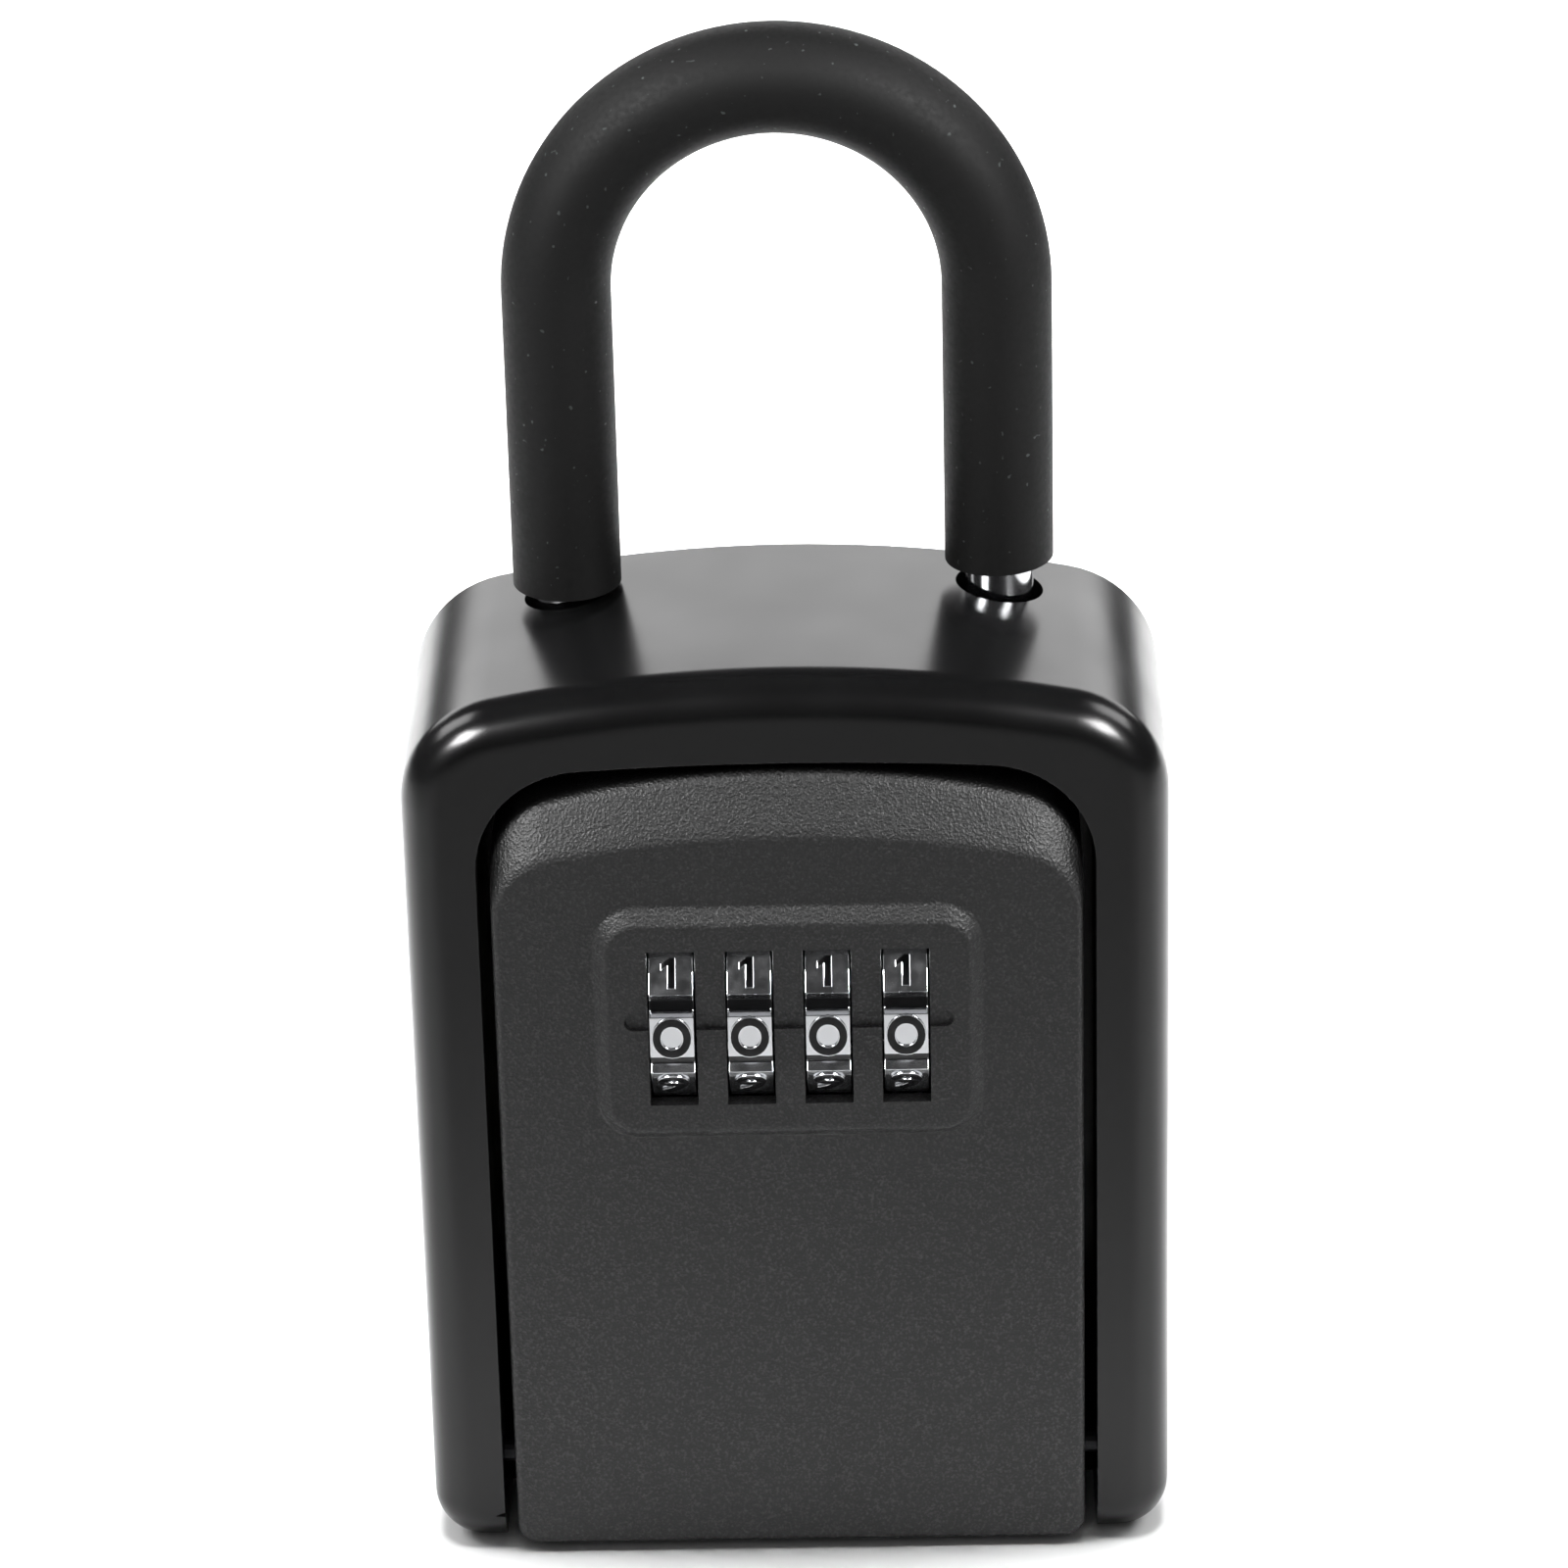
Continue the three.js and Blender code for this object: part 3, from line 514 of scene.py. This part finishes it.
digit_meshes = [digit_mesh(str(digit)) for digit in range(10)]
for number, x in enumerate(DIAL_X, start=1):
    wheel = dial_wheel(number, x)
    bm = bmesh.new()
    bm.from_mesh(wheel.data)
    # Notch floors take the dark digit finish: painted shade in the notches between faces.
    for face in bm.faces:
        middle = face.calc_center_median()
        radius = math.hypot(middle.y - DIAL_Y, middle.z - DIAL_Z)
        if DIAL_NOTCH * 0.97 < radius < DIAL_NOTCH * 1.02 and abs(face.normal.x) < 0.5:
            face.material_index = 1
    for digit, mesh in enumerate(digit_meshes):
        raised = bmesh.new()
        raised.from_mesh(mesh)
        heights = [v.co.y for v in raised.verts]
        widen, heighten = {0: (0.98, 1.16), 1: (1, 1)}.get(digit, (1.25, 0.92))
        bmesh.ops.translate(raised, vec=(0, -(max(heights) + min(heights)) / 2, 0), verts=raised.verts)
        bmesh.ops.scale(raised, vec=(widen, heighten, 1), verts=raised.verts)
        stand = Matrix.Rotation(math.pi / 2, 4, "X")
        outwards = Matrix.Translation((0, -DIAL_FACE, 0))
        around = Matrix.Rotation(-digit * math.pi / 5, 4, "X")
        centre = Matrix.Translation((x, DIAL_Y, DIAL_Z))
        bmesh.ops.transform(raised, matrix=centre @ around @ outwards @ stand, verts=raised.verts)
        bmesh.ops.remove_doubles(raised, verts=raised.verts, dist=0.002 * MM)
        raised.normal_update()
        outward = around @ Vector((0, -1, 0))
        for face in raised.faces:
            face.material_index = 1 if abs(face.normal.dot(outward)) > 0.95 else 0
        placed = bpy.data.meshes.new("placed")
        raised.to_mesh(placed)
        raised.free()
        bm.from_mesh(placed)
        bpy.data.meshes.remove(placed)
    bm.to_mesh(wheel.data)
    bm.free()
    wheel.data.materials.append(dial_metal)
    wheel.data.materials.append(digit_tops_and_notch_shade)
    finish_piece(wheel, dial_metal, f"dial_{number}", "dial_metal", f"dial_wheel_{number}")
for mesh in digit_meshes:
    bpy.data.meshes.remove(mesh)

# ---- Shackle rod -----------------------------------------------------------------------------
# An 8 mm hardened steel rod, bent to a half circle and chromed. The long leg is grooved for its
# retaining ring, and the short leg has a flat-sided notch with a ramp for the latch.
ring_low, ring_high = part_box("shackle_retaining_ring")
sleeve_low, sleeve_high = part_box("shackle_sleeve")
SLEEVE_RADIUS = (sleeve_high.y - sleeve_low.y) / 2
ARCH_Z = sleeve_high.z - SLEEVE_RADIUS - LEG_X
SHORT_END = CASE_TOP - 19 * MM

chrome, chrome_surface, place = shader("chrome", (0.78, 0.79, 0.81), 0.07, 1.0)
vary(chrome, noise(chrome, place, 120), chrome_surface.inputs["Roughness"], 0.04, 0.11)


def arch_tube(bm, radius, left_end, right_end, segments=48, steps=48):
    """An open tube over the arch, with its two straight legs; returns the end loops."""
    ring = bmesh.ops.create_circle(bm, cap_ends=False, radius=radius, segments=segments)["verts"]
    bmesh.ops.translate(bm, vec=(-LEG_X, LEG_Y, ARCH_Z), verts=ring)
    start = list({e for v in ring for e in v.link_edges})
    spun = bmesh.ops.spin(bm, geom=ring + start, cent=(0, LEG_Y, ARCH_Z), axis=(0, 1, 0),
                          dvec=(0, 0, 0), angle=math.pi, steps=steps, use_merge=False,
                          use_duplicate=False)
    last = [e for e in spun["geom_last"] if isinstance(e, bmesh.types.BMEdge)]
    ends = []
    for loop, end in ((start, left_end), (last, right_end)):
        leg = bmesh.ops.extrude_edge_only(bm, edges=loop)["geom"]
        foot = [v for v in leg if isinstance(v, bmesh.types.BMVert)]
        bmesh.ops.translate(bm, vec=(0, 0, end - ARCH_Z), verts=foot)
        ends.append([e for e in leg if isinstance(e, bmesh.types.BMEdge)
                     and e.verts[0] in foot and e.verts[1] in foot])
    return ends


bm = bmesh.new()
for loop in arch_tube(bm, ROD_RADIUS, rod_low.z, SHORT_END):
    bmesh.ops.contextual_create(bm, geom=loop)
rod = new_piece("shackle_rod_chrome", bm)
soften(rod, lambda e: len(e.link_faces) == 2 and e.calc_face_angle() > 1.2, 0.6 * MM, 3)
groove_low = ring_low.z - 0.3 * MM
groove_high = ring_high.z + 0.4 * MM
groove_tool = new_piece("groove_tool", bar(ROD_RADIUS + 2 * MM, Vector((-LEG_X, LEG_Y, groove_low)),
                                           Vector((-LEG_X, LEG_Y, groove_high))))
machined(groove_tool, [bar(3.3 * MM, Vector((-LEG_X, LEG_Y, groove_low - 1 * MM)),
                           Vector((-LEG_X, LEG_Y, groove_high + 1 * MM)))])
bm = bmesh.new()
bm.from_mesh(groove_tool.data)
bpy.data.objects.remove(groove_tool)
inner = LEG_X - ROD_RADIUS
NOTCH_DEPTH = 2.4 * MM
notch = [(inner - 3 * MM, latch_low.z + 2.5 * MM), (inner - 3 * MM, latch_low.z - 11.2 * MM),
         (inner + NOTCH_DEPTH, latch_low.z - 0.4 * MM), (inner + NOTCH_DEPTH, latch_low.z + 2.5 * MM)]
leg_depth = LEG_Y - FRONT
machined(rod, [bm, stacked([(leg_depth - 6 * MM, notch), (leg_depth + 6 * MM, notch)])])
finish_piece(rod, chrome, "shackle", "chrome", "shackle_rod")

# ---- Shackle sleeve --------------------------------------------------------------------------
# A soft black vinyl tube pulled over the rod so that it can't scratch a door. Its left end
# rests on the case, and its right end is cut a little short and not quite square.
SLEEVE_BORE = ROD_RADIUS + 0.15 * MM
LEFT_END = sleeve_low.z
RIGHT_END = CASE_TOP + 1.9 * MM

vinyl, vinyl_surface, place = shader("vinyl", (0.012, 0.012, 0.012), 0.5)
vinyl_grain = noise(vinyl, place, 1600, 3.0)
vary(vinyl, vinyl_grain, vinyl_surface.inputs["Roughness"], 0.55, 0.66)
vinyl_surface.inputs["Specular IOR Level"].default_value = 0.16
tint(vinyl, noise(vinyl, place, 1500, 0.0), vinyl_surface.inputs["Base Color"],
     (0.004, 0.004, 0.004), (0.06, 0.069, 0.067), 0.80, 0.88)
bump(vinyl, vinyl_surface, vinyl_grain, 0.25, 0.06 * MM)

bm = bmesh.new()
outer_ends = arch_tube(bm, SLEEVE_RADIUS, LEFT_END, RIGHT_END, 64, 64)
inner_ends = arch_tube(bm, SLEEVE_BORE, LEFT_END, RIGHT_END, 64, 64)
for outer, bored in zip(outer_ends, inner_ends):
    bmesh.ops.bridge_loops(bm, edges=outer + bored)
SLANT = math.tan(math.radians(2))
for v in bm.verts:
    if abs(v.co.z - RIGHT_END) < 0.01 * MM and v.co.x > 0:
        v.co.z += SLANT * (v.co.x - LEG_X)
sleeve = new_piece("shackle_sleeve_vinyl", bm)
soften(sleeve, lambda e: len(e.link_faces) == 2 and e.calc_face_angle() > 1.2, 0.45 * MM, 3)
finish_piece(sleeve, vinyl, "shackle", "vinyl", "shackle_sleeve")

# ---- Lock parts ------------------------------------------------------------------------------
# Stamped and turned parts inside the case and door: zinc-plated steel plates, screws and bolt,
# bright spring steel, brass bushes, and moulded black plastic covers and tabs.
steel, steel_surface, place = shader("steel", (0.5, 0.5, 0.51), 0.35, 1.0)
brushing = noise(steel, place, 300, 4.0, (1, 1, 18))
vary(steel, brushing, steel_surface.inputs["Roughness"], 0.28, 0.45)
bump(steel, steel_surface, brushing, 0.1, 0.03 * MM)
# The hinge pins' steel is near-black as painted shade: it stands in for the shade in the gaps beside the
# door, where the pins sit.
black_steel, pin_shade_surface, place = shader("black_steel", (0.03, 0.03, 0.032), 0.45, 1.0)
vary(black_steel, noise(black_steel, place, 400), pin_shade_surface.inputs["Roughness"], 0.4, 0.55)
spring_steel, spring_surface, place = shader("spring_steel", (0.4, 0.4, 0.42), 0.28, 1.0)
vary(spring_steel, noise(spring_steel, place, 400), spring_surface.inputs["Roughness"], 0.2, 0.34)
brass, brass_surface, place = shader("brass", (0.62, 0.46, 0.2), 0.3, 1.0)
vary(brass, noise(brass, place, 500), brass_surface.inputs["Roughness"], 0.22, 0.38)
plastic, plastic_surface, place = shader("plastic", (0.016, 0.016, 0.0165), 0.5)
plastic_grain = noise(plastic, place, 1400)
vary(plastic, plastic_grain, plastic_surface.inputs["Roughness"], 0.45, 0.6)
bump(plastic, plastic_surface, plastic_grain, 0.2, 0.05 * MM)

finishes = {"steel": steel, "black_steel": black_steel, "spring_steel": spring_steel,
            "brass": brass, "plastic": plastic}
EDGE_BREAK = 0.15 * MM
for row in frame["record"]["subparts"]:
    finish = finishes.get(row["material_slot"])
    if finish is None:
        continue
    node = frame["nodes"][row["node"]]
    node.data.materials.clear()
    node.data.materials.append(finish)
    weld = node.modifiers.new("weld", "WELD")
    weld.merge_threshold = 0.002 * MM
    rounding = node.modifiers.new("edge_break", "BEVEL")
    rounding.width = EDGE_BREAK
    rounding.segments = 2
    rounding.limit_method = "ANGLE"
    rounding.angle_limit = math.radians(40)

# ---- Floor, light and camera -----------------------------------------------------------------
# A pale floor under soft studio light: a long panel behind, one at each side, and two in front
# that give the black paint its edge highlights. A wash from above lights the floor round the box.
FLOOR_HALF = 6.0
floor_mesh = bmesh.new()
bmesh.ops.create_grid(floor_mesh, x_segments=1, y_segments=1, size=FLOOR_HALF)
floor = new_piece("floor", floor_mesh)
floor_paint, floor_surface, place = shader("floor_paint", (0.9, 0.9, 0.9), 0.6)
vary(floor_paint, noise(floor_paint, place, 3), floor_surface.inputs["Roughness"], 0.55, 0.65)
floor.data.materials.append(floor_paint)

world = bpy.data.worlds.new("studio")
bpy.context.scene.world = world
world.use_nodes = True
nodes, links = world.node_tree.nodes, world.node_tree.links
sky = nodes["Background"]
direction = nodes.new("ShaderNodeTexCoord")
parts = nodes.new("ShaderNodeSeparateXYZ")
links.new(direction.outputs["Generated"], parts.inputs["Vector"])
height = nodes.new("ShaderNodeMapRange")
height.interpolation_type = "SMOOTHSTEP"
height.inputs["From Min"].default_value = 0.3
height.inputs["From Max"].default_value = 0.62
height.inputs["To Min"].default_value = 0.12
height.inputs["To Max"].default_value = 0.04
links.new(parts.outputs["Z"], height.inputs["Value"])
links.new(height.outputs["Result"], sky.inputs["Strength"])
sky.inputs["Color"].default_value = (1, 1, 1, 1)


def panel_light(name, location, target, width, height, power):
    light = bpy.data.lights.new(name, "AREA")
    light.shape = "RECTANGLE"
    light.size = width
    light.size_y = height
    light.energy = power
    holder = bpy.data.objects.new(name, light)
    holder.location = location
    holder.rotation_euler = (Vector(target) - Vector(location)).to_track_quat("-Z", "Y").to_euler()
    bpy.context.scene.collection.objects.link(holder)
    return holder


BOX_MIDDLE = (0, 0, 0.08)
panel_light("back_panel", (0, 1.4, 0.62), BOX_MIDDLE, 2.6, 0.5, 14.5)
panel_light("left_panel", (-0.75, 0.15, 0.8), BOX_MIDDLE, 0.4, 0.5, 6)
panel_light("right_panel", (0.75, 0.15, 0.8), BOX_MIDDLE, 0.4, 0.5, 6)
for side, name in ((-1, "front_left_panel"), (1, "front_right_panel")):
    front = panel_light(name, (side * 0.75, -0.75, 0.8), BOX_MIDDLE, 0.4, 0.4, 32)
    front.visible_diffuse = False
wash = panel_light("floor_wash", (0, 0.33, 0.6), (0, 0.33, 0), 1.0, 0.78, 5)
wash.visible_glossy = False
wash.data.spread = math.radians(32)

camera_data = bpy.data.cameras.new("camera")
camera_data.sensor_width = 36
camera_data.lens = 153.74
camera = bpy.data.objects.new("camera", camera_data)
camera.location = (12.54 * MM, -702.86 * MM, 430.34 * MM)
camera.rotation_euler = [math.radians(a) for a in (64.334, 1.268, 0.435)]
bpy.context.scene.collection.objects.link(camera)
bpy.context.scene.camera = camera
bpy.context.scene.view_settings.view_transform = "Standard"
